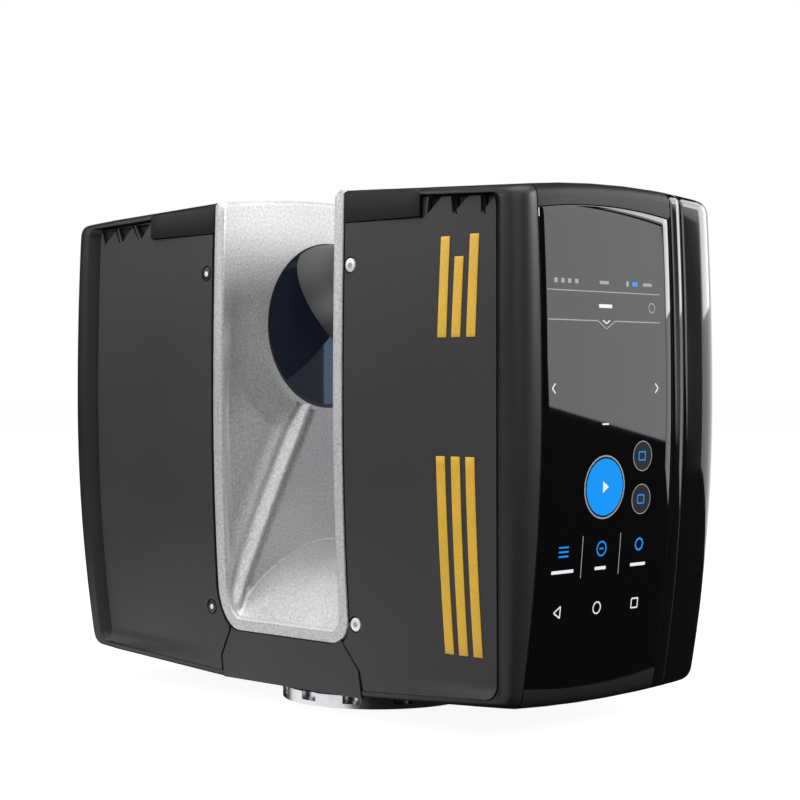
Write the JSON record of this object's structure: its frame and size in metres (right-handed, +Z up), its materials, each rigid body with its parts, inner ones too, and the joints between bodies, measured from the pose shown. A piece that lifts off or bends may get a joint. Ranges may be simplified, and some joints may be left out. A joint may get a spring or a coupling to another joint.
{
  "type": "terrestrial laser scanner",
  "caption": "Compact tripod laser scanner: twin-tower head turning on a base ring, spinning angled mirror in a cast channel, touch display side, battery door.",
  "frame": {"origin": "on the azimuth axis, at the underside of the base ring", "axes": "+Z up along the azimuth axis, +X towards the display side along the mirror axis, -Y towards the front"},
  "size_m": [0.23, 0.1038, 0.177],
  "materials": {
    "machined_steel": "turned",
    "brass_gear": "cut",
    "coated_glass": "coated",
    "cast_aluminium": "fine textured silver paint",
    "graphite_shell": "fine textured",
    "cap_plastic": "smooth matte",
    "cover_plastic": "fine textured",
    "seal_rubber": "matte",
    "bright_screw": "polished",
    "bezel_plastic": "satin",
    "display_glass": "polished glass over a dark screen",
    "gloss_trim": "piano black",
    "black_anodised": "anodised",
    "brass_housing": "turned",
    "circuit_board": "solder mask",
    "copper_winding": "wound wire",
    "magnet": "ground",
    "mirror_coating": "polished",
    "window_glass": "dark blue filter glass, polished",
    "bay_plastic": "moulded",
    "card_cage": "pressed"
  },
  "bodies": {
    "base": {"base_ring": "machined_steel", "azimuth_spindle": "machined_steel", "spindle_nut": "machined_steel", "azimuth_gear": "brass_gear", "azimuth_encoder_disc": "coated_glass", "base_screws": "machined_steel"},
    "head": {"traverse": "cast_aluminium", "bearing_skirt": "graphite_shell", "azimuth_bearing": "machined_steel", "azimuth_motor": "black_anodised", "azimuth_encoder_reader": "circuit_board", "channel_floor": "cast_aluminium", "left_wall": "cast_aluminium", "right_wall": "cast_aluminium", "traverse_bolts": "machined_steel", "channel_seals": "seal_rubber", "left_shell": "graphite_shell", "right_shell": "graphite_shell", "left_cap": "cap_plastic", "right_cap": "cap_plastic", "left_front_cover": "cover_plastic", "left_rear_cover": "cover_plastic", "right_front_cover": "cover_plastic", "right_rear_cover": "cover_plastic", "front_foot_cover": "cover_plastic", "rear_foot_cover": "cover_plastic", "cover_screws": "bright_screw", "display_bezel": "bezel_plastic", "display_glass": "display_glass", "display_module": "black_anodised", "side_trim": "gloss_trim", "exit_window": "window_glass", "window_ring": "black_anodised", "lens_barrel": "black_anodised", "objective_lens": "coated_glass", "laser_module": "brass_housing", "detector_board": "circuit_board", "camera_module": "black_anodised", "main_board": "circuit_board", "power_board": "circuit_board", "antenna_board": "circuit_board", "mirror_motor_housing": "black_anodised", "mirror_bearings": "machined_steel", "motor_stator": "copper_winding", "mirror_encoder_reader": "circuit_board", "battery_bay": "bay_plastic", "door_hinge_pin": "machined_steel", "card_reader": "card_cage", "button_board": "circuit_board"},
    "mirror": {"mirror_holder": "black_anodised", "mirror_glass": "mirror_coating", "mirror_shaft": "machined_steel", "motor_magnets": "magnet", "mirror_encoder_disc": "coated_glass"},
    "azimuth_pinion": {"azimuth_pinion": "brass_gear"},
    "battery_door": {"battery_door": "graphite_shell"},
    "door_latch": {"door_latch": "bay_plastic"},
    "battery": {"battery": "bay_plastic"},
    "memory_card": {"memory_card": "bay_plastic"},
    "power_button": {"power_button": "card_cage"}
  },
  "joints": [
    {"name": "azimuth_turn", "type": "hinge", "parent": "base", "child": "head", "pos_m": [0, 0, 0.01], "axis": [0, 0, 1], "continuous": true},
    {"name": "pinion_spin", "type": "hinge", "parent": "head", "child": "azimuth_pinion", "pos_m": [0, 0.0288, 0.0064], "axis": [0, 0, 1], "continuous": true},
    {"name": "mirror_spin", "type": "hinge", "parent": "head", "child": "mirror", "pos_m": [0, 0, 0.132], "axis": [1, 0, 0], "continuous": true},
    {"name": "door_swing", "type": "hinge", "parent": "head", "child": "battery_door", "pos_m": [-0.1125, 0, 0.074], "axis": [0, 1, 0], "range_deg": [0, 100]},
    {"name": "latch_press", "type": "slide", "parent": "battery_door", "child": "door_latch", "axis": [1, 0, 0], "range_m": [0, 0.0012], "stiffness_N_per_m": 300},
    {"name": "battery_slide", "type": "slide", "parent": "head", "child": "battery", "axis": [-1, 0, 0], "range_m": [0, 0.01]},
    {"name": "card_slide", "type": "slide", "parent": "head", "child": "memory_card", "axis": [-1, 0, 0], "range_m": [-0.0008, 0.004]},
    {"name": "power_press", "type": "slide", "parent": "head", "child": "power_button", "axis": [1, 0, 0], "range_m": [0, 0.0008], "stiffness_N_per_m": 400}
  ],
  "couplings": [
    {"joint": "pinion_spin", "follows": "azimuth_turn", "ratio": 7},
    {"joint": "door_swing", "follows": "battery_slide", "rad_per_m": 174.5}
  ]
}
